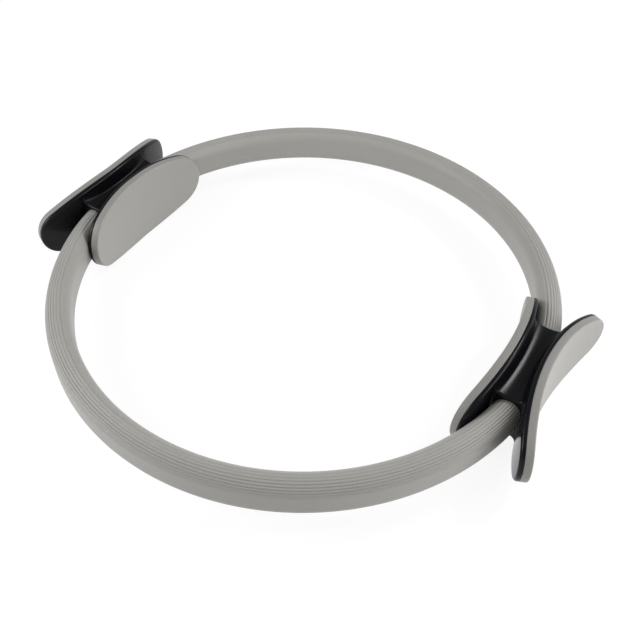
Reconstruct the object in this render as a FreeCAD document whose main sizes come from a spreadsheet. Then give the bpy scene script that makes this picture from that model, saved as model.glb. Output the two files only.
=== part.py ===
import FreeCAD, Part
import math
import os

import Sketcher

# Pilates ring: a springy hoop in a ribbed foam sleeve, squeezed between two padded grips.
#
# The hoop lies flat, with +Z up, the grips on the X axis and the ring's middle on the Z axis.
# Everything is drawn about the hoop's middle plane and lifted at the end, so that the grips stand
# on Z = 0. The left grip is the right one turned half round, and the rear half of the hoop is the
# front half turned half round, as the real mouldings are.

DIMENSIONS = [
    # The hoop: two flat glass-fibre strips, each bent to half a circle.
    ("hoop_radius", 178, "ring centre to the middle of the strip"),
    ("band_width", 20, "strip, along Z"),
    ("band_thickness", 3, "strip, along the radius"),
    ("band_end_gap", 1, "between the two strips' ends inside a grip"),
    # The foam sleeve: a stadium section, ribbed lengthwise on its round top and bottom.
    ("sleeve_width", 17.8, "along the radius, over the ribs"),
    ("sleeve_height", 29, "along Z, over the ribs"),
    ("rib_count", 6, "ribs on the top, and again on the bottom"),
    ("rib_spread", 150, "degrees of the round top that the ribs cover"),
    ("rib_depth", 0.7, "crest to valley"),
    # The grips: two bowed paddles, back to back on a web that holds the hoop.
    ("grip_height", 58.2, "paddle, along Z"),
    ("grip_setback", 4.15, "hoop's middle line to the grip's middle, towards the ring's centre"),
    ("waist_gap", 14.4, "between the paddles' backs at their narrowest"),
    ("plate_thickness", 3.2, "black moulding behind each pad"),
    ("pad_thickness", 5.4, "foam pad"),
    ("inner_face_radius", 197.5, "bow of the pad that faces the ring's centre"),
    ("outer_face_radius", 163, "bow of the pad that faces away"),
    ("inner_pad_length", 124.7, "face, along Y"),
    ("outer_pad_length", 138.7, "face, along Y"),
    ("inner_end_radius", 24, "round ends of the inner paddle's outline"),
    ("outer_end_radius", 19.8, "round ends of the outer paddle's outline"),
    ("rest_flat_length", 10, "straight stretch of the outline, on which the ring rests"),
    ("web_length", 71, "web, along Y, from mouth to mouth"),
    ("mouth_wall", 2.4, "web over the sleeve at its mouth"),
    ("root_bevel", 4, "where the web's top and bottom run into the paddles"),
    ("socket_depth", 7, "how far a sleeve's end goes into a mouth"),
    ("parting_gap", 0.2, "between a grip's two half shells"),
    # The screws that clamp the shells and pin the strips, hidden under the inner pads.
    ("screw_diameter", 3.5, "shank"),
    ("screw_head_diameter", 6.5, "pan head"),
    ("screw_head_height", 2, "pan head"),
    ("screw_inset", 14, "strip's end to its hole"),
    ("screw_bite", 1.5, "how far the tip goes into the outer paddle"),
    # Fits and cuts.
    ("fit_clearance", 0.3, "foam and strip in their sockets"),
    ("screw_clearance", 0.1, "round each screw"),
    ("cut_overrun", 5, "how far a cutting shape stands out of what it cuts"),
]

doc = FreeCAD.newDocument("pilates_ring")
sheet = doc.addObject("Spreadsheet::Sheet", "dims")


def fill_sheet():
    """Writes each driving dimension to its own row: name, value, note."""
    for row, (alias, value, note) in enumerate(DIMENSIONS, start=1):
        sheet.set(f"A{row}", alias)
        sheet.set(f"B{row}", str(value))
        sheet.set(f"C{row}", note)
        sheet.setAlias(f"B{row}", alias)
    doc.recompute()


def size(alias):
    """A driving dimension as a number."""
    return float(sheet.get(alias))


def bind(thing, **expressions):
    """Ties properties to the sheet: Base__x stands for Placement.Base.x."""
    for name, expression in expressions.items():
        path = "Placement." + name.replace("__", ".") if name.startswith("Base__") else name
        thing.setExpression(path, expression)
    return thing


# Places that several pieces share, written in the sheet's names. A bow is given by the X of its axis
# and the direction from there to the paddle.
MIDDLE = "(dims.hoop_radius - dims.grip_setback)"
INNER_BACK = f"({MIDDLE} - dims.waist_gap / 2)"
OUTER_BACK = f"({MIDDLE} + dims.waist_gap / 2)"
PADDLE = "(dims.pad_thickness + dims.plate_thickness)"
INNER_AXIS = f"({INNER_BACK} - dims.inner_face_radius - {PADDLE})"
OUTER_AXIS = f"({OUTER_BACK} + dims.outer_face_radius + {PADDLE})"
BOWS = {"inner": (INNER_AXIS, 1), "outer": (OUTER_AXIS, -1)}
WEB_HEIGHT = "(dims.sleeve_height + 2 * dims.fit_clearance + 2 * dims.mouth_wall)"
SOCKET_FLOOR = "(dims.web_length / 2 - dims.socket_depth)"
REACH = "(dims.hoop_radius + dims.outer_pad_length)"

# A root bevel takes no more than this share of the waist, so that the two don't meet.
ROOT_BEVEL_SHARE = 0.42


def box(name, half_x, half_y, half_z, x="0", y="0"):
    """A box about the middle plane, given by its half sizes and the place of its middle."""
    block = doc.addObject("Part::Box", name)
    bind(block, Length=f"2 * ({half_x})", Width=f"2 * ({half_y})", Height=f"2 * ({half_z})")
    bind(block, Base__x=f"{x} - ({half_x})", Base__y=f"{y} - ({half_y})", Base__z=f"-({half_z})")
    return block


def drum(name, radius, height, x="0"):
    """A cylinder on a vertical axis, about the middle plane."""
    body = doc.addObject("Part::Cylinder", name)
    bind(body, Radius=radius, Height=height, Base__x=x, Base__z=f"-({height}) / 2")
    return body


def peg(name, radius, start, length, y):
    """A cylinder along +X at mid height, from start."""
    body = doc.addObject("Part::Cylinder", name)
    body.Placement = FreeCAD.Placement(FreeCAD.Vector(), FreeCAD.Rotation(FreeCAD.Vector(0, 1, 0), 90))
    bind(body, Radius=radius, Height=length, Base__x=start, Base__y=y)
    return body


def cut(name, base, *tools):
    """Base with each tool taken out."""
    for step, tool in enumerate(tools, start=1):
        result = doc.addObject("Part::Cut", f"{name}_{step}")
        result.Base = base
        result.Tool = tool
        base = result
    return base


def common(name, first, second):
    """What two shapes share."""
    result = doc.addObject("Part::Common", name)
    result.Base = first
    result.Tool = second
    return result


def fuse(name, *shapes):
    """Shapes joined into one solid."""
    result = doc.addObject("Part::MultiFuse", name)
    result.Shapes = list(shapes)
    result.Refine = True
    return result


def ring(name, middle_radius, thickness, height, x="0"):
    """A tube wall on a vertical axis, given by its middle radius and thickness."""
    half = f"({thickness}) / 2"
    outside = drum(f"{name}_outside", f"{middle_radius} + {half}", height, x)
    inside = drum(f"{name}_inside", f"{middle_radius} - {half}", f"{height} + dims.cut_overrun", x)
    return cut(name, outside, inside)


def bevelled(name, base, test, leg):
    """Base with an even bevel on each edge that passes the test."""
    doc.recompute()
    result = doc.addObject("Part::Chamfer", name)
    result.Base = base
    result.Edges = [(index, leg, leg)
                    for index, edge in enumerate(base.Shape.Edges, start=1) if test(edge)]
    return result


def sketch_on(name, rotation):
    """An empty sketch through the origin, on a plane turned from XY."""
    sketch = doc.addObject("Sketcher::SketchObject", name)
    sketch.Placement = FreeCAD.Placement(FreeCAD.Vector(), rotation)
    return sketch


def arc(centre, radius, start, end):
    """A sketch arc, anticlockwise between two angles in radians."""
    circle = Part.Circle(centre, FreeCAD.Vector(0, 0, 1), radius)
    return Part.ArcOfCircle(circle, start, end)


def chain(sketch, pieces):
    """Adds pieces that follow each other anticlockwise, each tangent to the next."""
    sketch.addGeometry(pieces, False)
    count = len(pieces)
    for index in range(count):
        sketch.addConstraint(Sketcher.Constraint("Tangent", index, 2, (index + 1) % count, 1))


def dimension(sketch, expression, kind, *where):
    """A driving dimension of a sketch, tied to the sheet."""
    index = sketch.addConstraint(Sketcher.Constraint(kind, *where))
    sketch.setExpression(f"Constraints[{index}]", expression)


def face_ends(side):
    """How far from its bow's axis, along X, the two ends of a pad's face lie."""
    return f"sqrt(dims.{side}_face_radius ^ 2 - (dims.{side}_pad_length / 2) ^ 2)"


def paddle_outline(side, place, distance):
    """The paddle seen along X, on a plane at a distance from its bow's axis.

    The outline has a flat top and bottom, full sides and round ends. A side arc leaves the flat
    stretch and runs inside the end arc, so its radius follows from the height, the end radius and
    how far apart the two stretches are. The outline is as long as the pad's face on the plane
    through that face's ends, and its length grows with the distance.
    """
    axis, direction = BOWS[side]
    length, end_radius = f"{side}_pad_length", f"{side}_end_radius"
    sketch = sketch_on(f"{side}_outline_{place}", FreeCAD.Rotation(FreeCAD.Vector(1, 1, 1), 120))
    bind(sketch, Base__x=f"{axis} + {direction} * {distance}")
    doc.recompute()
    reach = abs(sketch.Placement.Base.x - sketch.evalExpression(axis))
    stretch = reach / sketch.evalExpression(face_ends(side))
    half = size("grip_height") / 2
    end = size(end_radius)
    flat = size("rest_flat_length") / 2
    centre = stretch * size(length) / 2 - end
    full = ((centre - flat) ** 2 + half ** 2 - end ** 2) / (2 * (half - end))
    lean = math.atan2(centre - flat, full - half)
    quarter, turn = math.pi / 2, math.pi

    def line(x, y):
        return Part.LineSegment(FreeCAD.Vector(-x, y, 0), FreeCAD.Vector(x, y, 0))

    def side_arc(sign_x, sign_y, start):
        return arc(FreeCAD.Vector(sign_x * flat, sign_y * (half - full), 0), full, start, start + lean)

    def end_arc(sign, start):
        return arc(FreeCAD.Vector(sign * centre, 0, 0), end, start, start + turn - 2 * lean)

    chain(sketch, [
        line(flat, -half),
        side_arc(1, -1, -quarter),
        end_arc(1, lean - quarter),
        side_arc(1, 1, quarter - lean),
        line(-flat, half),
        side_arc(-1, 1, quarter),
        end_arc(-1, quarter + lean),
        side_arc(-1, -1, turn + quarter - lean),
    ])
    for other in (3, 5, 7):
        sketch.addConstraint(Sketcher.Constraint("Equal", 1, other))
    sketch.addConstraint(Sketcher.Constraint("Equal", 2, 6))
    for end_index in (2, 6):
        sketch.addConstraint(Sketcher.Constraint("PointOnObject", end_index, 3, -1))
    sketch.addConstraint(Sketcher.Constraint("Symmetric", 4, 1, 4, 2, -2))
    dimension(sketch, f"dims.{end_radius}", "Radius", 2, end)
    dimension(sketch, "dims.rest_flat_length", "DistanceX", 0, 1, 0, 2, 2 * flat)
    dimension(sketch, "dims.grip_height", "DistanceY", 0, 1, 4, 1, 2 * half)
    apart = f"dims.{length} * {distance} / {face_ends(side)} - 2 * dims.{end_radius}"
    dimension(sketch, apart, "DistanceX", 6, 3, 2, 3, 2 * centre)
    return sketch


def paddle_wedge(side):
    """All that lies within the paddle's outline as seen from its bow's axis.

    Its wall stands square to the bowed faces, like the rim of a flat sheet that was bent.
    """
    near = f"({face_ends(side)} - dims.cut_overrun)"
    far = f"(dims.{side}_face_radius + {PADDLE} + dims.cut_overrun)"
    wedge = doc.addObject("Part::Loft", f"{side}_wedge")
    wedge.Sections = [paddle_outline(side, "near", near), paddle_outline(side, "far", far)]
    wedge.Solid = True
    wedge.Ruled = True
    return wedge


def socket(name, sign):
    """The room that a sleeve's end takes in one mouth: its plain section, a clearance larger.

    The section stands square to the hoop halfway down the socket and is drawn out both ways.
    """
    radius = size("sleeve_width") / 2 + size("fit_clearance")
    straight = (size("sleeve_height") - size("sleeve_width")) / 2
    top, bottom = FreeCAD.Vector(0, straight, 0), FreeCAD.Vector(0, -straight, 0)
    reach = FreeCAD.Vector(radius, 0, 0)
    middle_y = (size("web_length") - size("socket_depth")) / 2
    turn = math.asin(sign * middle_y / size("hoop_radius"))
    upright = FreeCAD.Rotation(FreeCAD.Vector(1, 0, 0), 90)
    sketch = sketch_on(f"{name}_section", FreeCAD.Rotation(FreeCAD.Vector(0, 0, 1), math.degrees(turn)) * upright)
    sketch.Placement.Base = size("hoop_radius") * FreeCAD.Vector(math.cos(turn), math.sin(turn), 0)
    chain(sketch, [
        Part.LineSegment(bottom + reach, top + reach),
        arc(top, radius, 0, math.pi),
        Part.LineSegment(top - reach, bottom - reach),
        arc(bottom, radius, math.pi, 2 * math.pi),
    ])
    sketch.addConstraint(Sketcher.Constraint("Symmetric", 1, 3, 3, 3, -1, 1))
    dimension(sketch, "dims.sleeve_width / 2 + dims.fit_clearance", "Radius", 1, radius)
    dimension(sketch, "dims.sleeve_height - dims.sleeve_width", "DistanceY", 3, 3, 1, 3, 2 * straight)
    room = doc.addObject("Part::Extrusion", name)
    room.Base = sketch
    room.DirMode = "Normal"
    room.Symmetric = True
    room.Solid = True
    bind(room, LengthFwd="2 * (dims.socket_depth + dims.cut_overrun)")
    floor = box(f"{name}_floor", REACH, SOCKET_FLOOR, REACH)
    return cut(f"{name}_room", room, floor)


def ribbed_ring():
    """The foam sleeve as a whole ring: straight smooth sides, and a round top and bottom in V ribs.

    Crests lie on the section's round ends, and the valleys between them one rib depth inside.
    """
    radius = size("sleeve_width") / 2
    straight = (size("sleeve_height") - size("sleeve_width")) / 2
    spread = math.radians(size("rib_spread"))
    steps = 2 * int(size("rib_count"))

    def ribbed_end(sign):
        points = []
        for step in range(steps + 1):
            angle = spread * (step / steps - 1 / 2)
            reach = radius if step % 2 else radius - size("rib_depth")
            points.append((sign * reach * math.sin(angle), sign * (straight + reach * math.cos(angle))))
        return points

    sides = [(radius, straight), (radius, -straight)]
    section = ribbed_end(1) + sides + ribbed_end(-1) + [(-x, -z) for x, z in sides]
    corners = [FreeCAD.Vector(size("hoop_radius") + x, 0, z) for x, z in section]
    face = Part.Face(Part.makePolygon(corners + corners[:1]))
    ring_of_foam = doc.addObject("Part::Feature", "ribbed_ring")
    ring_of_foam.Shape = face.revolve(FreeCAD.Vector(), FreeCAD.Vector(0, 0, 1), 360)
    return ring_of_foam


def half_space(name, start):
    """A block that holds all that lies in front of Y = -start."""
    return box(name, REACH, REACH, REACH, y=f"-{start} - {REACH}")


def screw_places():
    """The screws' Y: one in the rear strip's end, and one in the front strip's."""
    inset = "(dims.band_end_gap / 2 + dims.screw_inset)"
    return {"rear": inset, "front": f"-{inset}"}


def screw_group():
    """Two pan-head screws: their heads sit in the inner shell, and their tips in the outer paddle."""
    screws = []
    for place, y in screw_places().items():
        head = peg(f"head_{place}", "dims.screw_head_diameter / 2",
                   f"{INNER_BACK} - dims.screw_head_height", "dims.screw_head_height", y)
        shank = peg(f"shank_{place}", "dims.screw_diameter / 2",
                    INNER_BACK, "dims.waist_gap + dims.screw_bite", y)
        screws.append(fuse(f"screw_{place}", head, shank))
    return screws


def screw_holes():
    """The recess over each head and the hole round each shank."""
    holes = []
    for place, y in screw_places().items():
        recess_length = "(dims.inner_pad_length / 2)"
        holes.append(peg(f"recess_{place}", "dims.screw_head_diameter / 2 + dims.screw_clearance",
                         f"{INNER_BACK} - {recess_length}", recess_length, y))
        holes.append(peg(f"hole_{place}", "dims.screw_diameter / 2 + dims.screw_clearance",
                         INNER_BACK, "dims.waist_gap + dims.screw_bite + dims.screw_clearance", y))
    return holes


def grip_moulding(wedges, slot, sockets):
    """Both paddles and the web as one form, before it is split into its two half shells.

    The web's top and bottom flow into the paddles' backs, which leaves a saddle between them.
    Beyond the mouths the backs are relieved where they would touch the sleeves.
    """
    path = ring("sleeve_path", "dims.hoop_radius", "(dims.sleeve_width + 2 * dims.fit_clearance)",
                "(dims.sleeve_height + 2 * dims.fit_clearance)")
    relief = cut("sleeve_relief", path, box("between_mouths", REACH, "dims.web_length / 2", REACH))
    plates = []
    hollows = []
    for side, (axis, _) in BOWS.items():
        middle = f"(dims.{side}_face_radius + dims.pad_thickness + dims.plate_thickness / 2)"
        wall = ring(f"{side}_plate_wall", middle, "dims.plate_thickness", "2 * dims.grip_height", axis)
        plates.append(cut(f"{side}_plate", common(f"{side}_paddle", wall, wedges[side]), relief))
        hollows.append(drum(f"{side}_web_end", middle, "2 * dims.grip_height", axis))
    block = box("web_block", "2 * dims.waist_gap", "dims.web_length / 2", f"{WEB_HEIGHT} / 2", x=MIDDLE)
    web = cut("web", block, *hollows)
    blank = fuse("grip_blank", *plates, web)
    top = size("sleeve_height") / 2 + size("fit_clearance") + size("mouth_wall")
    tolerance = size("parting_gap") / 2

    def is_root(edge):
        spot = edge.BoundBox
        level = spot.ZLength < tolerance and abs(abs(spot.Center.z) - top) < tolerance
        return level and spot.YLength > size("web_length") - tolerance

    leg = min(size("root_bevel"), ROOT_BEVEL_SHARE * size("waist_gap"))
    flowing = bevelled("grip_flowing", blank, is_root, leg)
    return cut("grip_moulding", flowing, *sockets, slot, *screw_holes())


def pad(side, wedge):
    """A foam pad: the paddle's outline on a bowed wall."""
    wall = ring(f"{side}_pad_wall", f"(dims.{side}_face_radius + dims.pad_thickness / 2)",
                "dims.pad_thickness", "2 * dims.grip_height", BOWS[side][0])
    return common(f"{side}_pad", wall, wedge)


def stand(feature, label, yaw):
    """Names a finished piece, turns it about Z and lifts it to stand on Z = 0."""
    feature.Label = label
    feature.Placement = FreeCAD.Placement(FreeCAD.Vector(), FreeCAD.Rotation(FreeCAD.Vector(0, 0, 1), yaw))
    bind(feature, Base__z="dims.grip_height / 2")
    return feature


def node(label, yaw, *shapes):
    """A finished piece made of one or more separate shapes."""
    piece = doc.addObject("Part::Compound", label)
    piece.Links = list(shapes)
    return stand(piece, label, yaw)


def build():
    """Makes every piece of the ring.

    Returns:
        The finished pieces, each with the label that names its file.
    """
    fill_sheet()
    slot = ring("strip_slot", "dims.hoop_radius", "(dims.band_thickness + 2 * dims.fit_clearance)",
                "(dims.band_width + 2 * dims.fit_clearance)")
    sockets = [socket("front_socket", -1), socket("rear_socket", 1)]
    wedges = {side: paddle_wedge(side) for side in BOWS}

    moulding = grip_moulding(wedges, slot, sockets)
    tall = "2 * dims.grip_height"
    inner_side = drum("inner_side", "dims.hoop_radius - dims.parting_gap / 2", tall)
    outer_side = drum("outer_side", "dims.hoop_radius + dims.parting_gap / 2", tall)
    inner_shell = common("inner_shell", moulding, inner_side)
    outer_shell = cut("outer_shell", moulding, outer_side)
    inner_pad = pad("inner", wedges["inner"])
    outer_pad = pad("outer", wedges["outer"])
    screws = screw_group()

    strip = ring("strip", "dims.hoop_radius", "dims.band_thickness", "dims.band_width")
    half_strip = common("half_strip", strip, half_space("front_of_gap", "dims.band_end_gap / 2"))
    strip_hole = peg("strip_hole", "dims.screw_diameter / 2 + dims.screw_clearance",
                     f"-{REACH}", f"2 * {REACH}", screw_places()["front"])
    band = cut("band", half_strip, strip_hole)
    foam = cut("foam", ribbed_ring(), slot)
    sleeve = common("sleeve", foam, half_space("front_of_sockets", f"({SOCKET_FLOOR} + dims.fit_clearance)"))

    pieces = []
    for end, yaw in (("front", 0), ("rear", 180)):
        pieces.append(node(f"{end}_band", yaw, band))
        pieces.append(node(f"{end}_sleeve", yaw, sleeve))
    for hand, yaw in (("right", 0), ("left", 180)):
        pieces.append(node(f"{hand}_inner_shell", yaw, inner_shell))
        pieces.append(node(f"{hand}_outer_shell", yaw, outer_shell))
        pieces.append(node(f"{hand}_inner_pad", yaw, inner_pad))
        pieces.append(node(f"{hand}_outer_pad", yaw, outer_pad))
        pieces.append(node(f"{hand}_screws", yaw, *screws))
    doc.recompute()
    return pieces


def check(pieces):
    """Stops on a feature that failed or a piece that isn't a sound solid."""
    for thing in doc.Objects:
        if "Invalid" in thing.State or "Error" in thing.State:
            raise RuntimeError(f"{thing.Name} failed: {thing.State}")
    for piece in pieces:
        if piece.Shape.isNull() or not piece.Shape.isValid() or not piece.Shape.Solids:
            raise RuntimeError(f"{piece.Label} is not a sound solid")


def export(pieces):
    """Writes each piece to its own file and prints its solids and volume."""
    os.makedirs("parts", exist_ok=True)
    for piece in pieces:
        solids = piece.Shape.Solids
        shape = solids[0] if len(solids) == 1 else piece.Shape
        shape.exportStep(f"parts/{piece.Label}.step")
        print(f"{piece.Label}: {len(solids)} solid(s), {piece.Shape.Volume / 1000:.2f} cm3")


finished = build()
check(finished)
export(finished)
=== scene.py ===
"""A squeeze ring: a foam-sleeved spring hoop between two moulded grips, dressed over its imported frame."""
import logging
import math
from collections.abc import Mapping
from dataclasses import dataclass
from enum import Enum

import bmesh
import bpy
import numpy as np
from mathutils import Matrix, Vector


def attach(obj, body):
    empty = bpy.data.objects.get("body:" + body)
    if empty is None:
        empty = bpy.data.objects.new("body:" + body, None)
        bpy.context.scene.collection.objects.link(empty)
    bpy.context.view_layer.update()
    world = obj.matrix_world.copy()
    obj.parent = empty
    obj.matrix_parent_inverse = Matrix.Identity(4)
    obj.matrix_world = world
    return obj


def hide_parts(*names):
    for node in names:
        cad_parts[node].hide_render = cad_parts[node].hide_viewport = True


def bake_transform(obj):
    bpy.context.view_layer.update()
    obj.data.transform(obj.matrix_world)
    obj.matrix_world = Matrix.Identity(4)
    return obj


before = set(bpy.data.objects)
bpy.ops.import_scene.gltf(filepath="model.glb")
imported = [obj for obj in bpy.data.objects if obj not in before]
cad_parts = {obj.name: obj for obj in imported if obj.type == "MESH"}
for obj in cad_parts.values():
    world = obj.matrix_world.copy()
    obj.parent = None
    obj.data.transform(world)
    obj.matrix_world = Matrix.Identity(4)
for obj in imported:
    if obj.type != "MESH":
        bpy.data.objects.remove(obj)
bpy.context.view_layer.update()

LOG = logging.getLogger("squeeze_ring")

Colour = tuple[float, float, float]
WHITE = (1.0, 1.0, 1.0, 1.0)

# The pieces' sizes are in millimetres, and their points become metres when a mesh is made.
MM = 0.001
MIDDLE_HEIGHT = 29.1
HOOP_RADIUS = 178.0

# Points of a mesh that lie closer than this, in metres, are merged.
MERGE_DISTANCE = 1e-6
SHARP_ANGLE = math.radians(38)

# A mesh's attribute that is 1 on a rib or a plain face, and 0 in a valley, on a cut rim or on a web.
# Where it is low, the foam's colour is darkened, as painted shade in the ribs' valleys and darker cut rims,
# and the plastic is rougher.
CREST = "crest"

# The value that a noise varies about.
NOISE_MEAN = 0.5


class Side(Enum):
    """The grip that a piece belongs to; the value turns a right-hand shape to its place."""

    RIGHT = 1
    LEFT = -1


class Span(Enum):
    """The half of the hoop that a piece lies on, as its sign along Y."""

    FRONT = -1
    REAR = 1


class Layer(Enum):
    """A grip's two paddles, as the direction along X from the waist of the right grip."""

    INNER = -1
    OUTER = 1


# The grip that each quarter of the hoop is held by, and the body that carries the middle of its span.
QUARTER_BODIES = {
    (Span.FRONT, Side.RIGHT): ("right_grip", "front_sleeve"),
    (Span.FRONT, Side.LEFT): ("left_grip", "front_band"),
    (Span.REAR, Side.RIGHT): ("right_grip", "rear_band"),
    (Span.REAR, Side.LEFT): ("left_grip", "rear_sleeve"),
}


def smooth(share: np.ndarray) -> np.ndarray:
    """Eases a share from 0 to 1: 3 t^2 - 2 t^3, held at the ends.

    Args:
        share: Values that may lie outside 0 to 1.

    Returns:
        The eased values.
    """
    held = np.clip(share, 0, 1)
    return held * held * (3 - 2 * held)


@dataclass
class Sheet:
    """A grid of points in rows, which may close on itself along its rows or its columns."""

    points: np.ndarray
    rows_close: bool = False
    columns_close: bool = False
    crest: np.ndarray | None = None

    def quads(self) -> np.ndarray:
        """Works out the corners of every cell from a grid of point numbers and its shifted copies.

        Returns:
            An array of point numbers, four to a cell.
        """
        rows, columns = self.points.shape[:2]
        number = np.arange(rows * columns).reshape(rows, columns)
        if self.rows_close:
            number = np.vstack([number, number[:1]])
        if self.columns_close:
            number = np.hstack([number, number[:, :1]])
        corners = [number[:-1, :-1], number[1:, :-1], number[1:, 1:], number[:-1, 1:]]
        return np.stack(corners, axis=-1).reshape(-1, 4)

    def crests(self) -> np.ndarray:
        """Gives each point's crest, which is 1 where the sheet names none."""
        return np.ones(self.points.shape[:2]) if self.crest is None else self.crest


def make_piece(name: str, sheets: list[Sheet], material: bpy.types.Material) -> bpy.types.Object:
    """Joins sheets into one closed piece with its place in its mesh.

    Points that fall together are merged, which closes seams and poles, and the faces are turned outwards.

    Args:
        name: The piece's name.
        sheets: The sheets that bound it, in millimetres.
        material: Its finish.

    Returns:
        The new object.
    """
    points = np.concatenate([sheet.points.reshape(-1, 3) for sheet in sheets]) * MM
    starts = np.cumsum([0] + [sheet.points[..., 0].size for sheet in sheets[:-1]])
    quads = np.concatenate([sheet.quads() + start for sheet, start in zip(sheets, starts)])
    crests = np.concatenate([sheet.crests().ravel() for sheet in sheets])
    mesh = bpy.data.meshes.new(name)
    mesh.from_pydata(points, [], quads)
    crest = mesh.attributes.new(CREST, "FLOAT", "POINT")
    crest.data.foreach_set("value", crests.astype(np.float32))
    work = bmesh.new()
    work.from_mesh(mesh)
    bmesh.ops.remove_doubles(work, verts=work.verts, dist=MERGE_DISTANCE)
    bmesh.ops.recalc_face_normals(work, faces=work.faces)
    work.to_mesh(mesh)
    work.free()
    mesh.shade_smooth()
    mesh.set_sharp_from_angle(angle=SHARP_ANGLE)
    mesh.materials.append(material)
    piece = bpy.data.objects.new(name, mesh)
    bpy.context.scene.collection.objects.link(piece)
    LOG.info("%s: %d faces", name, len(mesh.polygons))
    return piece


class Value:
    """A shader socket that takes part in arithmetic; each operation adds a Math node."""

    def __init__(self, graph: "NodeGraph", socket: bpy.types.NodeSocket) -> None:
        """Keeps the socket and the graph that it belongs to."""
        self.graph = graph
        self.socket = socket

    def __add__(self, other: "Value | float") -> "Value":
        """Adds a value or a number."""
        return self.graph.math("ADD", self, other)

    def __sub__(self, other: "Value | float") -> "Value":
        """Takes a value or a number away."""
        return self.graph.math("SUBTRACT", self, other)

    def __rsub__(self, other: float) -> "Value":
        """Is taken away from a number."""
        return self.graph.math("SUBTRACT", other, self)

    def __mul__(self, other: "Value | float") -> "Value":
        """Multiplies by a value or a number."""
        return self.graph.math("MULTIPLY", self, other)

    __radd__ = __add__
    __rmul__ = __mul__


Input = Value | float | tuple[float, ...]


@dataclass(frozen=True)
class Pattern:
    """A fractal noise: features per metre, octaves, the finer ones' weight, and a scale along each axis."""

    scale: float
    detail: float = 2.0
    roughness: float = 0.5
    stretch: Colour | None = None


class NodeGraph:
    """The node tree of one material or world, built through a single node-making method."""

    def __init__(self, owner: bpy.types.Material | bpy.types.World) -> None:
        """Empties the owner's node tree.

        Args:
            owner: The material or world that the nodes belong to.
        """
        owner.use_nodes = True
        self.tree = owner.node_tree
        self.tree.nodes.clear()

    def node(self, kind: str, settings: Mapping[str, object] | None = None,
             sockets: Mapping[str | int, Input] | None = None, output: str | int = 0) -> Value:
        """Adds a node, sets it up and feeds its sockets.

        Args:
            kind: The node's type.
            settings: Properties that are set first.
            sockets: Values or links for its inputs, by name or place.
            output: The output that is handed back.

        Returns:
            The chosen output, ready for arithmetic, or the first input of a node that has no outputs.
        """
        made = self.tree.nodes.new(kind)
        for name, value in (settings or {}).items():
            setattr(made, name, value)
        for name, value in (sockets or {}).items():
            if isinstance(value, Value):
                self.tree.links.new(value.socket, made.inputs[name])
            else:
                made.inputs[name].default_value = value
        return Value(self, made.outputs[output]) if made.outputs else Value(self, made.inputs[0])

    def math(self, operation: str, first: Input, second: Input) -> Value:
        """Adds a Math node of two values."""
        return self.node("ShaderNodeMath", {"operation": operation}, {0: first, 1: second})

    def place(self) -> Value:
        """Gives a point's place in its own object's space."""
        return self.node("ShaderNodeTexCoord", output="Object")

    def crest(self) -> Value:
        """Gives a point's crest, from 0 to 1."""
        return self.node("ShaderNodeAttribute", {"attribute_name": CREST}, output="Fac")

    def noise(self, place: Value, pattern: Pattern) -> Value:
        """Adds fractal noise about 0.5.

        Args:
            place: Where the noise is read.
            pattern: Its features.

        Returns:
            The noise's value.
        """
        if pattern.stretch:
            place = self.node("ShaderNodeMapping", None, {"Vector": place, "Scale": pattern.stretch})
        sockets = {
            "Vector": place,
            "Scale": pattern.scale,
            "Detail": pattern.detail,
            "Roughness": pattern.roughness,
        }
        return self.node("ShaderNodeTexNoise", None, sockets)

    def tinted(self, colour: Colour, shade: Value) -> Value:
        """Multiplies a colour by a shade that varies over the surface."""
        return self.node("ShaderNodeVectorMath", {"operation": "SCALE"}, {0: colour, "Scale": shade})

    def bump(self, height: Value, depth: float, strength: float) -> Value:
        """Turns a height into a normal.

        Args:
            height: The height, about 0 to 1.
            depth: The depth in metres that a height of 1 stands for.
            strength: The share of the effect.

        Returns:
            The bent normal.
        """
        return self.node("ShaderNodeBump", None, {"Height": height, "Distance": depth, "Strength": strength})

    def surface(self, sockets: Mapping[str | int, Input]) -> None:
        """Feeds a Principled surface to the material's output.

        Args:
            sockets: Values or links for the surface's inputs.
        """
        shader = self.node("ShaderNodeBsdfPrincipled", None, sockets)
        self.node("ShaderNodeOutputMaterial", None, {"Surface": shader})


@dataclass(frozen=True)
class Finish:
    """A surface's look, with its name and its base colour."""

    name: str
    colour: Colour

    def dress(self, graph: NodeGraph) -> None:
        """Adds the finish's own nodes to a material's graph."""
        raise NotImplementedError

    def material(self) -> bpy.types.Material:
        """Builds the finish.

        Returns:
            The material.
        """
        made = bpy.data.materials.new(self.name)
        self.dress(NodeGraph(made))
        return made


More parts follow.
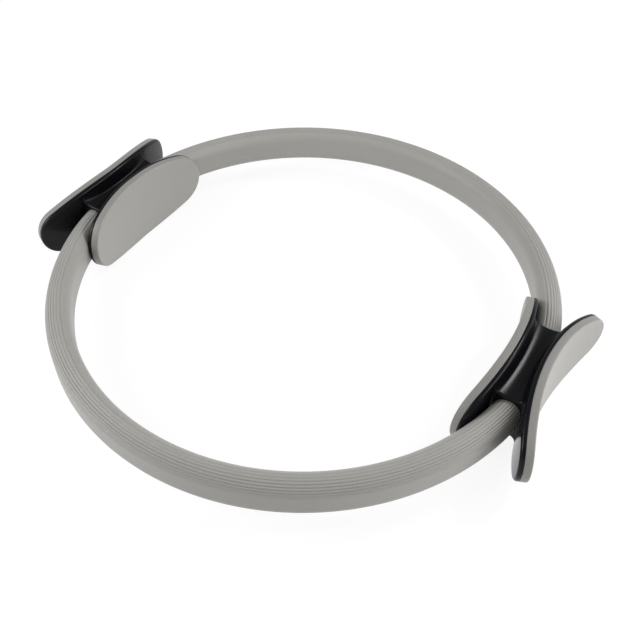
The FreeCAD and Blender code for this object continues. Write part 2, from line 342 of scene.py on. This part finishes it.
@dataclass(frozen=True)
class FoamFinish(Finish):
    """Grey closed-cell foam: a soft mottle, fine cells, painted shade in the ribs' valleys, and darker cut
    rims.
    """

    mottle: float = 0.05
    speckle: float = 0.09
    # How much darker the colour is where the crest is 0: painted shade in the ribs' valleys, and darker cut
    # rims.
    painted_valley_shade_and_darker_rims: float = 0.12
    cloud: Pattern = Pattern(38.0, detail=3.0)
    grain: Pattern = Pattern(1500.0, roughness=0.7)
    cell_depth: float = 0.00012
    cell_strength: float = 0.5
    roughness: float = 0.44
    cloud_roughness: float = 0.12
    grain_roughness: float = 0.1
    specular: float = 0.5
    sheen: float = 0.1
    sheen_roughness: float = 0.5

    def dress(self, graph: NodeGraph) -> None:
        """Adds the foam's nodes: a colour with painted shade in the ribs' valleys and darker cut rims, and
        cells as fine as the grain.

        Args:
            graph: The material's graph.
        """
        place = graph.place()
        cloud = graph.noise(place, self.cloud) - NOISE_MEAN
        grain = graph.noise(place, self.grain) - NOISE_MEAN
        cell = graph.node("ShaderNodeTexVoronoi", {"feature": "F1"},
                          {"Vector": place, "Scale": self.grain.scale}, "Distance")
        # The colour is darkened where the crest is low: painted shade in the ribs' valleys, and darker cut
        # rims on the pads.
        shade = (1 + cloud * self.mottle + grain * self.speckle) * (1 - (1 - graph.crest()) * self.painted_valley_shade_and_darker_rims)
        graph.surface({
            "Base Color": graph.tinted(self.colour, shade),
            "Roughness": self.roughness + cloud * self.cloud_roughness + grain * self.grain_roughness,
            "Normal": graph.bump(cell + grain, self.cell_depth, self.cell_strength),
            "Specular IOR Level": self.specular,
            "Sheen Weight": self.sheen,
            "Sheen Roughness": self.sheen_roughness,
        })


@dataclass(frozen=True)
class PlasticFinish(Finish):
    """Black moulded plastic: glossy plates on a satin web, under a coat with smears and orange peel."""

    roughness: float = 0.17
    web_roughness: float = 0.27
    smear_roughness: float = 0.12
    smear: Pattern = Pattern(75.0, detail=4.0, roughness=0.6, stretch=(1.0, 0.35, 1.0))
    flow: Pattern = Pattern(26.0, stretch=(1.0, 0.2, 1.0))
    flow_tint: float = 0.5
    peel: Pattern = Pattern(420.0)
    peel_depth: float = 0.00002
    peel_strength: float = 0.4
    specular: float = 0.03
    coat: float = 0.32
    smear_coat: float = 0.2
    coat_roughness: float = 0.24

    def dress(self, graph: NodeGraph) -> None:
        """Adds the plastic's nodes: its gloss goes from the web's to the plates' with the crest.

        Args:
            graph: The material's graph.
        """
        place = graph.place()
        smear = graph.noise(place, self.smear) - NOISE_MEAN
        flow = graph.noise(place, self.flow) - NOISE_MEAN
        peel = graph.noise(place, self.peel)
        roughness = self.web_roughness - graph.crest() * (self.web_roughness - self.roughness)
        graph.surface({
            "Base Color": graph.tinted(self.colour, 1 + flow * self.flow_tint),
            "Roughness": roughness + smear * self.smear_roughness,
            "Normal": graph.bump(peel, self.peel_depth, self.peel_strength),
            "Specular IOR Level": self.specular,
            "Coat Weight": self.coat + smear * self.smear_coat,
            "Coat Roughness": self.coat_roughness,
        })


@dataclass(frozen=True)
class FibreFinish(Finish):
    """Pulled glass fibre: pale resin with streaks that run round the hoop."""

    streak: Pattern = Pattern(60.0, detail=4.0, roughness=0.65, stretch=(1.0, 1.0, 30.0))
    shade: float = 0.8
    streak_shade: float = 0.4
    roughness: float = 0.38
    streak_roughness: float = 0.2
    streak_depth: float = 0.00008
    streak_strength: float = 0.5

    def dress(self, graph: NodeGraph) -> None:
        """Adds the fibre's nodes: one streak for its shade, its gloss and its grooves.

        Args:
            graph: The material's graph.
        """
        streak = graph.noise(graph.place(), self.streak)
        graph.surface({
            "Base Color": graph.tinted(self.colour, self.shade + streak * self.streak_shade),
            "Roughness": self.roughness + streak * self.streak_roughness,
            "Normal": graph.bump(streak, self.streak_depth, self.streak_strength),
        })


@dataclass(frozen=True)
class SteelFinish(Finish):
    """Plated steel: fine turning marks and a cloudy polish."""

    cloud: Pattern = Pattern(300.0, detail=3.0)
    marks: Pattern = Pattern(500.0, stretch=(12.0, 1.0, 1.0))
    shade: float = 0.9
    cloud_shade: float = 0.2
    roughness: float = 0.24
    marks_roughness: float = 0.2
    marks_depth: float = 0.00002
    marks_strength: float = 0.5

    def dress(self, graph: NodeGraph) -> None:
        """Adds the steel's nodes: a clouded colour, and marks for its gloss and its grooves.

        Args:
            graph: The material's graph.
        """
        place = graph.place()
        cloud = graph.noise(place, self.cloud)
        marks = graph.noise(place, self.marks)
        graph.surface({
            "Base Color": graph.tinted(self.colour, self.shade + cloud * self.cloud_shade),
            "Metallic": 1.0,
            "Roughness": self.roughness + marks * self.marks_roughness,
            "Normal": graph.bump(marks, self.marks_depth, self.marks_strength),
        })


@dataclass
class HoopQuarter:
    """A quarter of the hoop, from a grip to the middle of a span."""

    side: Side
    span: Span
    start_y: float
    blend_from_y: float = 33.5
    blend_share: float = 0.96
    end_gap: float = 0.02
    row_count: int = 121

    def angles(self) -> np.ndarray:
        """Gives the angles round the hoop, from the grip to just short of the span's middle.

        The first and the last come twice: once for the rim of that end and once for the line that closes it.

        Returns:
            The angles, from asin(start / radius) to acos(gap / radius).
        """
        first = math.asin(self.start_y / HOOP_RADIUS)
        last = math.acos(self.end_gap / HOOP_RADIUS)
        turn = np.linspace(first, last, self.row_count)
        return np.concatenate([turn[:1], turn, turn[-1:]])

    def sweep(self, angles: np.ndarray, radial: np.ndarray, height: np.ndarray) -> np.ndarray:
        """Carries a section round the hoop: x = +-(R + u) cos a, y = +-(R + u) sin a, z = middle + w.

        Args:
            angles: The angle of each row.
            radial: Each point's u, in a row for each angle.
            height: Each point's w, in a row for each angle.

        Returns:
            The grid of points.
        """
        reach = HOOP_RADIUS + radial
        turn = angles[:, None]
        x = self.side.value * reach * np.cos(turn)
        y = self.span.value * reach * np.sin(turn)
        return np.stack([x, y, MIDDLE_HEIGHT + height], axis=-1)

    def skin(self, radial: np.ndarray, height: np.ndarray, end_height: np.ndarray,
             crest: np.ndarray | None = None) -> Sheet:
        """Carries a section along the quarter and closes both ends on a line at the section's middle.

        Args:
            radial: The section's u, round its loop.
            height: The section's w, round its loop.
            end_height: The w of the closing lines, where u = 0.
            crest: The section's crests, or None for a plain section.

        Returns:
            The closed sheet.
        """
        angles = self.angles()
        radials = np.tile(radial, (len(angles), 1))
        heights = np.tile(height, (len(angles), 1))
        radials[[0, -1]] = 0
        heights[[0, -1]] = end_height
        crests = None if crest is None else np.tile(crest, (len(angles), 1))
        return Sheet(self.sweep(angles, radials, heights), columns_close=True, crest=crests)

    def bend(self, piece: bpy.types.Object) -> None:
        """Bakes a piece's place into its mesh.

        Args:
            piece: The finished piece.
        """
        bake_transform(piece)


@dataclass
class FoamSleeve(HoopQuarter):
    """The foam over a quarter of the hoop: smooth sides, and a round top and bottom.

    Fine ribs run along the top and the bottom, towards the outside.
    """

    width: float = 17.8
    height: float = 29.0
    rib_count: int = 8
    rib_phase: float = 1.26
    rib_rate: float = 0.0674
    rib_growth: float = 0.00021
    rib_depth: float = 0.45
    rib_power: float = 0.8
    rib_fade: tuple[float, float] = (4.5, 8.0)
    faded_share: float = 0.25
    round_count: int = 241
    flank_count: int = 8

    @property
    def straight(self) -> float:
        """Half the height of the straight sides."""
        return (self.height - self.width) / 2

    def ridge(self, turn: np.ndarray) -> np.ndarray:
        """Gives the height on a rib at an angle round the top: |sin(pi n)| ** power, with n valleys passed.

        For a lean of a degrees outwards from the crown n = phase + rate a + growth a^2, so the ribs lie
        closer together towards the outer flank. There the valleys also grow shallower, down to a share of
        their depth.

        Args:
            turn: Angles round the section's top, from 0 at the outer flank to pi at the inner one.

        Returns:
            0 in a full valley and 1 on a crest, and 1 beyond the first and last rib.
        """
        lean = 90 - np.degrees(turn)
        passed = self.rib_phase + self.rib_rate * lean + self.rib_growth * lean**2
        wave = np.abs(np.sin(np.pi * passed)) ** self.rib_power
        start, end = self.rib_fade
        strength = 1 - (1 - self.faded_share) * smooth((passed - start) / (end - start))
        ribbed = np.abs(passed - (self.rib_count - 1) / 2) < self.rib_count / 2
        return np.where(ribbed, 1 - strength * (1 - wave), 1.0)

    def section(self) -> tuple[np.ndarray, np.ndarray, np.ndarray]:
        """Draws the section: a round top, straight flanks, and the top mirrored.

        The top's radius at an angle t is r(t) = width / 2 - depth (1 - ridge(t)).

        Returns:
            The radial places, the heights and the rib heights round the loop.
        """
        radius = self.width / 2
        turn = np.linspace(0, np.pi, self.round_count)
        ridge = self.ridge(turn)
        reach = radius - self.rib_depth * (1 - ridge)
        top = np.stack([reach * np.cos(turn), self.straight + reach * np.sin(turn)])
        drop = np.linspace(self.straight, -self.straight, self.flank_count)[1:-1]
        flank = np.stack([np.full_like(drop, -radius), drop])
        loop = np.concatenate([top, flank, top[:, ::-1] * [[1], [-1]], -flank], axis=1)
        plain = np.ones_like(drop)
        return loop[0], loop[1], np.concatenate([ridge, plain, ridge[::-1], plain])

    def build(self, material: bpy.types.Material) -> bpy.types.Object:
        """Makes the sleeve and hides the frame's part that it stands for.

        Args:
            material: The foam.

        Returns:
            The sleeve.
        """
        radial, height, ridge = self.section()
        # The rib heights become the crest, by which the foam paints shade into the ribs' valleys.
        sheet = self.skin(radial, height, np.clip(height, -self.straight, self.straight), ridge)
        piece = make_piece(f"sleeve_{self.span.name}_{self.side.name}".lower(), [sheet], material)
        self.bend(piece)
        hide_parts(f"{self.span.name}_sleeve".lower())
        return piece


@dataclass
class SpringStrip(HoopQuarter):
    """A quarter of the flat glass-fibre spring inside the foam."""

    thickness: float = 3.0
    width: float = 20.0
    edge_round: float = 0.6
    corner_count: int = 6
    row_count: int = 91

    def section(self) -> tuple[np.ndarray, np.ndarray]:
        """Draws a rounded rectangle: four corner arcs about points set in by the edge's radius.

        Returns:
            The radial places and the heights round the loop.
        """
        quarter = np.linspace(0, np.pi / 2, self.corner_count)
        turn = (quarter + np.arange(4)[:, None] * np.pi / 2).ravel()
        across = np.repeat([1, -1, -1, 1], self.corner_count) * (self.thickness / 2 - self.edge_round)
        up = np.repeat([1, 1, -1, -1], self.corner_count) * (self.width / 2 - self.edge_round)
        return across + self.edge_round * np.cos(turn), up + self.edge_round * np.sin(turn)

    def build(self, material: bpy.types.Material) -> bpy.types.Object:
        """Makes the strip and hides the frame's part that it stands for.

        Args:
            material: The glass fibre.

        Returns:
            The strip.
        """
        radial, height = self.section()
        sheet = self.skin(radial, height, height)
        piece = make_piece(f"strip_{self.span.name}_{self.side.name}".lower(), [sheet], material)
        self.bend(piece)
        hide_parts(f"{self.span.name}_band".lower())
        return piece


@dataclass(frozen=True)
class Paddle:
    """One paddle of the right grip: a bowed oval whose rim stands square to its faces.

    Its outline is drawn across Y and Z on the plane through the ends of the pad's face, and carried along the
    radii of its bow.
    """

    layer: Layer
    length: float
    face_radius: float
    back: float
    end_radius: float
    height: float = 58.2
    rest_flat: float = 10.0
    pad_thickness: float = 5.4
    plate_thickness: float = 3.2

    @property
    def back_radius(self) -> float:
        """The radius of the plate's back."""
        return self.face_radius + self.pad_thickness + self.plate_thickness

    @property
    def axis(self) -> float:
        """The X of the bow's axis."""
        return self.back + self.layer.value * self.back_radius

    @property
    def plane(self) -> float:
        """The distance from the bow's axis to the plane that the outline is drawn on."""
        return math.sqrt(self.face_radius**2 - (self.length / 2) ** 2)

    @property
    def end_reach(self) -> float:
        """The Y of the end arc's centre on that plane."""
        return self.length / 2 - self.end_radius

    @property
    def side_radius(self) -> float:
        """The radius of the side arc that meets the flat and the end arc without a corner."""
        run = self.end_reach - self.rest_flat / 2
        half = self.height / 2
        return (run**2 + half**2 - self.end_radius**2) / (2 * (half - self.end_radius))

    def bow(self, y: np.ndarray, radius: np.ndarray | float) -> np.ndarray:
        """Gives the X of a bowed surface: axis -+ sqrt(radius^2 - y^2).

        Args:
            y: Places along the grip.
            radius: The surface's radius about the bow's axis.

        Returns:
            The X of each place.
        """
        return self.axis - self.layer.value * np.sqrt(radius**2 - y**2)

    def edge_height(self, y: np.ndarray) -> np.ndarray:
        """Gives half the outline's height on the plate's back, between the end arcs' centres.

        Args:
            y: Places along the back.

        Returns:
            The flat's height, less the side arc's fall beyond the flat.
        """
        drawn = self.plane * np.abs(y) / np.sqrt(self.back_radius**2 - y**2)
        beyond = np.maximum(drawn - self.rest_flat / 2, 0)
        return self.height / 2 - self.side_radius + np.sqrt(self.side_radius**2 - beyond**2)

    def outline(self, flat_count: int = 10, side_count: int = 36,
                end_count: int = 36) -> tuple[np.ndarray, np.ndarray]:
        """Traces the outline: flats, side arcs and end arcs, each tangent to the next.

        One quarter is drawn from the top's middle to the end, and then mirrored round.

        Args:
            flat_count: Points on half a flat.
            side_count: Points on a side arc.
            end_count: Points on half an end arc.

        Returns:
            The points and their outward normals, as (y, z) pairs.
        """
        half = self.height / 2
        side_centre = np.array([self.rest_flat / 2, half - self.side_radius])
        end_centre = np.array([self.end_reach, 0])
        meet = math.atan2(-side_centre[1], self.end_reach - self.rest_flat / 2)
        flat_y = np.linspace(0, self.rest_flat / 2, flat_count, endpoint=False)
        flat = np.stack([flat_y, np.full(flat_count, half)], -1)
        side_turn = np.linspace(np.pi / 2, meet, side_count, endpoint=False)
        end_turn = np.linspace(meet, 0, end_count)
        side_way = np.stack([np.cos(side_turn), np.sin(side_turn)], -1)
        end_way = np.stack([np.cos(end_turn), np.sin(end_turn)], -1)
        upward = np.tile([0.0, 1.0], (flat_count, 1))
        points = np.concatenate([flat, side_centre + self.side_radius * side_way,
                                 end_centre + self.end_radius * end_way])
        return self.mirrored(points), self.mirrored(np.concatenate([upward, side_way, end_way]))

    @staticmethod
    def mirrored(quarter: np.ndarray) -> np.ndarray:
        """Repeats a quarter outline in the other three, in order round the loop."""
        back = quarter[::-1]
        return np.concatenate([quarter, back[1:] * (1, -1), quarter[1:] * (-1, -1), back[1:-1] * (-1, 1)])

    def slab(self, back_radius: float, rows: np.ndarray, thinning: float = 0.0) -> np.ndarray:
        """Carries an edge profile round the outline and bows it: x = axis -+ r cos a, y = r sin a.

        A row is set in from the outline along its normals, then drawn towards the middle line by a share, and
        lies at a depth from the back. The angle a of a point is that of its place on the outline's plane.

        Args:
            back_radius: The radius of the back.
            rows: The set-in, the share and the depth of each row.
            thinning: How much the back is drawn in at the ends.

        Returns:
            The grid of points.
        """
        points, normals = self.outline()
        inset, share, depth = (rows[:, [column], None] for column in range(3))
        middle_y = np.clip(points[:, 0], -self.end_reach, self.end_reach)
        middle = np.stack([middle_y, np.zeros(len(points))], -1)
        flat = (points - inset * normals) * (1 - share) + middle * share
        y, z = flat[..., 0], flat[..., 1]
        drawn_in = thinning * smooth((np.abs(y) - self.rest_flat) / (self.length / 2 - self.rest_flat))
        radius = back_radius - np.maximum(depth[..., 0], drawn_in)
        turn = np.arctan2(y, self.plane)
        x = self.axis - self.layer.value * radius * np.cos(turn)
        return np.stack([x, radius * np.sin(turn), z + MIDDLE_HEIGHT], -1)


def slab_rows(thickness: float, back_round: float, face_round: float, crown: float = 0.0,
              rim_count: int = 7, face_count: int = 12) -> np.ndarray:
    """Draws the edge profile of a slab, from the middle of its back round the rim to the middle of its face.

    Each rim corner is a quarter circle: set in r (1 - sin t) at a depth of r (1 - cos t). The face rises by a
    crown of 1 - (1 - share)^2 towards its middle.

    Args:
        thickness: From back to face.
        back_round: The radius of the back's corner.
        face_round: The radius of the face's corner.
        crown: How far the face's middle stands proud.
        rim_count: Rows on a corner.
        face_count: Rows from the rim to the middle of the back or the face.

    Returns:
        Rows of set-in, share towards the middle line, and depth.
    """
    turn = np.linspace(0, np.pi / 2, rim_count)
    share = np.linspace(0, 1, face_count)
    flat = np.zeros_like(turn)
    falling, rising = 1 - np.sin(turn), 1 - np.cos(turn)
    back = np.stack([np.full_like(share, back_round), share[::-1], np.zeros_like(share)], -1)[:-1]
    back_rim = np.stack([back_round * falling, flat, back_round * rising], -1)
    face_rim = np.stack([face_round * rising, flat, thickness - face_round * falling], -1)
    rise = crown * (1 - (1 - share) ** 2)
    face = np.stack([np.full_like(share, face_round), share, thickness + rise], -1)[1:]
    return np.concatenate([back, back_rim, face_rim, face])


@dataclass
class Grip:
    """A grip: two bowed paddles back to back on a saddle-shaped web that takes in the sleeves' ends."""

    side: Side
    inner: Paddle = Paddle(Layer.INNER, length=124.7, face_radius=197.5, back=166.65, end_radius=24.0)
    outer: Paddle = Paddle(Layer.OUTER, length=138.7, face_radius=163.0, back=181.05, end_radius=19.8)
    web_half_length: float = 35.5
    web_half_height: float = 17.2
    socket_depth: float = 7.0
    mouth_width: float = 18.4
    mouth_height: float = 29.6
    lip_round: float = 1.5
    mouth_round: float = 0.5
    saddle_rise: float = 2.2
    root_share: float = 0.17
    root_margin: float = 1.4
    parting_half_gap: float = 0.02
    parting_round: float = 0.05
    pad_back_corner: float = 0.35
    pad_corner: float = 1.0
    pad_crown: float = 0.35
    plate_corner: float = 2.1
    plate_face_corner: float = 0.3
    plate_thinning: float = 0.6
    embed: float = 1.2
    top_count: int = 48
    side_count: int = 7
    bridge_count: int = 30
    socket_count: int = 8
    lip_count: int = 9
    floor_step: float = 0.1

    @property
    def socket_floor(self) -> float:
        """The Y of a socket's floor."""
        return self.web_half_length - self.socket_depth

    def placed(self, points: np.ndarray) -> np.ndarray:
        """Turns a right-hand shape half round for the left grip."""
        return points * (self.side.value, self.side.value, 1)

    def paddle(self, layer: Layer) -> Paddle:
        """Gives the paddle of a layer."""
        return self.inner if layer is Layer.INNER else self.outer

    def pad(self, layer: Layer, material: bpy.types.Material) -> bpy.types.Object:
        """Makes a foam pad on its paddle.

        Args:
            layer: The paddle.
            material: The foam.

        Returns:
            The pad.
        """
        paddle = self.paddle(layer)
        rows = slab_rows(paddle.pad_thickness, self.pad_back_corner, self.pad_corner, self.pad_crown)
        points = self.placed(paddle.slab(paddle.back_radius - paddle.plate_thickness, rows))
        # The crest is 1 on the pad's face and falls to 0 round its cut rim, where the foam's colour is
        # darker.
        skin = smooth((rows[:, 2] - paddle.pad_thickness) / self.pad_corner + 1)
        sheet = Sheet(points, columns_close=True, crest=np.tile(skin[:, None], points.shape[1]))
        name = f"{self.side.name}_{layer.name}_pad".lower()
        piece = make_piece(f"foam_{name}", [sheet], material)
        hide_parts(name)
        return piece

    def stations(self) -> np.ndarray:
        """Places the web's sections along Y.

        They lie close together on the rounded lips, and one lies on each side of a socket's floor.

        Returns:
            The places from the front mouth to the rear mouth.
        """
        lip_turn = np.linspace(0, np.pi / 2, self.lip_count)
        lip = self.web_half_length - self.lip_round * (1 - np.sin(lip_turn))
        bridge = np.linspace(0, self.socket_floor - self.floor_step, self.bridge_count)
        socket = np.linspace(self.socket_floor, lip[0], self.socket_count)[:-1]
        half = np.concatenate([bridge, socket, lip])
        return np.concatenate([-half[:0:-1], half])

    def web_outside(self, layer: Layer, y: np.ndarray) -> np.ndarray:
        """Shapes the outside of half a web.

        Its path runs from the parting over the top, down inside the plate and back below. The top is a
        saddle, z = H + s c^2 for c from -1 at one plate's back to 1 at the other's, and its root on either
        back is a quarter ellipse, b (1 - sqrt(1 - (1 - d / a)^2)) at a distance d. A mouth's lip is a
        quarter circle.

        Args:
            layer: The half.
            y: The sections' places.

        Returns:
            The grid of points, a row for each section.
        """
        parting = np.sqrt(HOOP_RADIUS**2 - y**2) + layer.value * self.parting_half_gap
        backs = {each.layer: each.bow(y, each.back_radius) for each in (self.inner, self.outer)}
        gap = backs[Layer.OUTER] - backs[Layer.INNER]
        crossing = 1 - np.sin(np.linspace(0, np.pi / 2, self.top_count))
        x = backs[layer][:, None] + (parting - backs[layer])[:, None] * crossing
        across = (x - backs[Layer.INNER][:, None]) / (gap[:, None] / 2) - 1
        z = self.web_half_height + self.saddle_rise * across**2
        for each in (self.inner, self.outer):
            distance = np.abs(x - backs[each.layer][:, None])
            run = self.root_share * gap[:, None]
            rise = each.edge_height(y) - self.web_half_height - self.saddle_rise - self.root_margin
            share = np.clip(1 - distance / run, 0, 1)
            z += rise[:, None] * (1 - np.sqrt(1 - share**2))
        from_parting = np.clip(1 - np.abs(x - parting[:, None]) / self.parting_round, 0, 1)
        z -= self.parting_round * (1 - np.sqrt(1 - from_parting**2))
        lip = np.clip((np.abs(y) - self.web_half_length) / self.lip_round + 1, 0, 1)
        shrink = (self.lip_round * (1 - np.sqrt(1 - lip**2)))[:, None]
        slope_x, slope_z = np.gradient(x, axis=1), np.gradient(z, axis=1)
        length = np.hypot(slope_x, slope_z)
        x = x + shrink * layer.value * slope_z / length
        z = z - shrink * layer.value * slope_x / length
        inside = backs[layer][:, None] + layer.value * self.embed
        down = z[:, -1:] * np.linspace(1, -1, self.side_count)
        path_x = np.concatenate([x, np.tile(inside, (1, self.side_count)), x[:, ::-1]], axis=1)
        path_z = np.concatenate([z, down, -z[:, ::-1]], axis=1)
        return np.stack([path_x, np.tile(y[:, None], (1, path_x.shape[1])), path_z + MIDDLE_HEIGHT], -1)

    def web_inside(self, layer: Layer, y: np.ndarray, count: int) -> np.ndarray:
        """Shapes the inside of half a web: half a socket at each mouth, and the flat parting between them.

        A socket is half the sleeve's section a clearance larger, u = -+r sin t and w = +-flat + r cos t.

        Args:
            layer: The half.
            y: The sections' places.
            count: Points along the path.

        Returns:
            The grid of points, a row for each section.
        """
        parting = np.sqrt(HOOP_RADIUS**2 - y**2)[:, None]
        turn = np.linspace(0, np.pi, count)
        flare = np.clip((np.abs(y) - self.web_half_length) / self.mouth_round + 1, 0, 1)
        radius = self.mouth_width / 2 + (self.mouth_round * (1 - np.sqrt(1 - flare**2)))[:, None]
        straight = (self.mouth_height - self.mouth_width) / 2
        z = straight * np.clip(2 * np.cos(turn), -1, 1) + radius * np.cos(turn)
        in_socket = np.abs(y) > self.socket_floor - self.floor_step / 2
        reach = np.where(in_socket[:, None], radius, 0)
        x = parting + layer.value * (self.parting_half_gap + reach * np.sin(turn))
        return np.stack([x, np.tile(y[:, None], (1, count)), z + MIDDLE_HEIGHT], -1)

    def web(self, layer: Layer) -> list[Sheet]:
        """Closes half a web: its outside and inside joined at the mouths and along the parting.

        Args:
            layer: The half.

        Returns:
            The sheets that bound it.
        """
        y = self.stations()
        outside = self.placed(self.web_outside(layer, y))
        inside = self.placed(self.web_inside(layer, y, outside.shape[1]))
        round_the_ends = Sheet(np.concatenate([outside, inside[::-1]]), rows_close=True)
        seams = [Sheet(np.stack([outside[:, column], inside[:, column]], axis=1)) for column in (0, -1)]
        for sheet in (round_the_ends, *seams):
            sheet.crest = np.zeros(sheet.points.shape[:2])
        return [round_the_ends, *seams]

    def shell(self, layer: Layer, material: bpy.types.Material) -> bpy.types.Object:
        """Makes half of the moulding: a bowed plate with a rounded back edge, and its half of the web.

        Args:
            layer: The half.
            material: The plastic.

        Returns:
            The half shell.
        """
        paddle = self.paddle(layer)
        thinning = self.plate_thinning if layer is Layer.INNER else 0.0
        rows = slab_rows(paddle.plate_thickness, self.plate_corner, self.plate_face_corner)
        plate = Sheet(self.placed(paddle.slab(paddle.back_radius, rows, thinning)), columns_close=True)
        name = f"{self.side.name}_{layer.name}_shell".lower()
        piece = make_piece(f"moulded_{name}", [plate, *self.web(layer)], material)
        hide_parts(name)
        return piece

    def build(self, foam: bpy.types.Material, plastic: bpy.types.Material) -> None:
        """Makes the grip's pads and shells and lets them ride on its body.

        Args:
            foam: The pads' finish.
            plastic: The shells' finish.
        """
        for layer in Layer:
            for piece in (self.pad(layer, foam), self.shell(layer, plastic)):
                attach(piece, f"{self.side.name}_grip".lower())


@dataclass(frozen=True)
class Lamp:
    """A soft rectangular white light that faces the ring, in metres and watts."""

    name: str
    place: tuple[float, float, float]
    size: tuple[float, float]
    power: float

    def build(self, target: Vector) -> None:
        """Hangs the light.

        Args:
            target: The point that it faces, in metres.
        """
        light = bpy.data.lights.new(self.name, "AREA")
        light.shape = "RECTANGLE"
        light.size, light.size_y = self.size
        light.energy = self.power
        lamp = bpy.data.objects.new(self.name, light)
        lamp.location = self.place
        lamp.rotation_euler = (target - lamp.location).to_track_quat("-Z", "Y").to_euler()
        bpy.context.scene.collection.objects.link(lamp)


@dataclass
class Studio:
    """The white floor, the soft light and the camera.

    The camera's angles are in degrees and its distance in millimetres; the floor is in metres.
    """

    azimuth: float = 32.705
    elevation: float = 44.506
    distance: float = 606.962
    pan: float = -1.076
    tilt: float = 0.983
    roll: float = -0.214
    shift: tuple[float, float] = (-0.0002, -0.0839)
    focal_length: float = 45.663
    sensor_width: float = 36.0
    floor_radius: float = 3.0
    cove_radius: float = 1.5
    floor_drop: float = 0.0003
    cove_count: int = 13
    round_count: int = 96
    floor_albedo: float = 0.86
    shadow_share: float = 0.16
    white_level: float = 1.055
    world_level: float = 0.37
    lamps: tuple[Lamp, ...] = (
        Lamp("lamp_right", place=(0.8, 0.2, 0.4), size=(0.5, 0.5), power=3.2),
        Lamp("lamp_left", place=(-0.62, -0.5, 0.55), size=(0.5, 0.5), power=4.4),
        Lamp("lamp_rear", place=(0.62, 0.9, 1.07), size=(0.27, 0.27), power=5.6),
    )

    def camera(self) -> None:
        """Sets the camera: an orbit about the hoop's middle, then its own pan, tilt and roll."""
        turn, rise = math.radians(self.azimuth), math.radians(self.elevation)
        back = Vector((math.sin(turn) * math.cos(rise), -math.cos(turn) * math.cos(rise), math.sin(rise)))
        right = Vector((math.cos(turn), math.sin(turn), 0))
        orbit = Matrix((right, back.cross(right), back)).transposed()
        own_turns = ((self.pan, "Y"), (self.tilt, "X"), (self.roll, "Z"))
        pan, tilt, roll = (Matrix.Rotation(math.radians(angle), 3, axis) for angle, axis in own_turns)
        data = bpy.data.cameras.new("camera")
        data.lens = self.focal_length
        data.sensor_width = self.sensor_width
        data.shift_x, data.shift_y = self.shift
        camera = bpy.data.objects.new("camera", data)
        place = back * self.distance * MM + Vector((0, 0, MIDDLE_HEIGHT * MM))
        camera.matrix_world = Matrix.Translation(place) @ (orbit @ (pan @ tilt @ roll)).to_4x4()
        bpy.context.scene.collection.objects.link(camera)
        bpy.context.scene.camera = camera

    @staticmethod
    def seen(graph: NodeGraph) -> Value:
        """Gives 1 for a ray from the camera, a gloss or a clear surface, and 0 for one that carries light.

        Args:
            graph: The graph that reads it.

        Returns:
            The ray's kind, as 0 or 1.
        """
        kinds = ("Camera", "Glossy", "Transmission")
        camera, gloss, clear = (graph.node("ShaderNodeLightPath", output=f"Is {kind} Ray") for kind in kinds)
        return graph.math("MINIMUM", camera + gloss + clear, 1.0)

    def cove(self) -> None:
        """Lays a pale floor that curves up into a low wall all round.

        Beyond a flat disc of radius R its profile is a quarter circle, r = R + c sin t and z = c (1 - cos t).
        It looks white, takes the ring's shadow and gives back a plain share of light.
        """
        turn = np.linspace(0, np.pi / 2, self.cove_count)
        reach = np.concatenate([[0], self.floor_radius + self.cove_radius * np.sin(turn)])[:, None]
        rise = np.concatenate([[0], self.cove_radius * (1 - np.cos(turn))])[:, None] - self.floor_drop
        way = np.linspace(0, 2 * np.pi, self.round_count, endpoint=False)
        points = np.stack([reach * np.cos(way), reach * np.sin(way), np.tile(rise, len(way))], -1) / MM
        made = bpy.data.materials.new("studio_floor")
        graph = NodeGraph(made)
        level = self.floor_albedo
        given = graph.node("ShaderNodeBsdfDiffuse", None, {"Color": (level, level, level, 1)})
        white = graph.node("ShaderNodeEmission", None, {"Color": WHITE, "Strength": self.white_level})
        shaded = graph.node("ShaderNodeBsdfDiffuse", None, {"Color": WHITE})
        shown = graph.node("ShaderNodeMixShader", None, {0: self.shadow_share, 1: white, 2: shaded})
        mixed = graph.node("ShaderNodeMixShader", None, {0: self.seen(graph), 1: given, 2: shown})
        graph.node("ShaderNodeOutputMaterial", None, {"Surface": mixed})
        make_piece("studio_floor", [Sheet(points, columns_close=True)], made)

    def world(self) -> None:
        """Surrounds the ring with even light."""
        world = bpy.data.worlds.new("studio_world")
        bpy.context.scene.world = world
        graph = NodeGraph(world)
        light = graph.node("ShaderNodeBackground", None, {"Color": WHITE, "Strength": self.world_level})
        graph.node("ShaderNodeOutputWorld", None, {"Surface": light})

    def build(self) -> None:
        """Sets up the whole studio."""
        self.camera()
        self.cove()
        self.world()
        for lamp in self.lamps:
            lamp.build(Vector((0, 0, MIDDLE_HEIGHT * MM)))
        bpy.context.scene.view_settings.view_transform = "Standard"


def main() -> None:
    """Builds the studio, the hoop and the grips, and dresses what stays of the frame."""
    logging.basicConfig(level=logging.INFO, format="%(message)s")
    Studio().build()
    # The sleeves' foam paints shade into the ribs' valleys; the pads' foam is darker round their cut rims.
    sleeve_foam = FoamFinish("sleeve_foam", (0.385, 0.376, 0.352)).material()
    pad_foam = FoamFinish("pad_foam", (0.386, 0.374, 0.351), painted_valley_shade_and_darker_rims=0.28).material()
    plastic = PlasticFinish("grip_plastic", (0.006, 0.0063, 0.0078)).material()
    fibre = FibreFinish("glass_fibre", (0.62, 0.6, 0.46)).material()
    steel = SteelFinish("screw_steel", (0.56, 0.55, 0.53)).material()
    for span, side in QUARTER_BODIES:
        FoamSleeve(side, span, start_y=28.8).build(sleeve_foam)
        SpringStrip(side, span, start_y=0.5).build(fibre)
    for side in Side:
        Grip(side).build(pad_foam, plastic)
        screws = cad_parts[f"{side.name}_screws".lower()]
        screws.data.materials.clear()
        screws.data.materials.append(steel)
        LOG.info("%s: plated steel", screws.name)


if __name__ == "__main__":
    main()
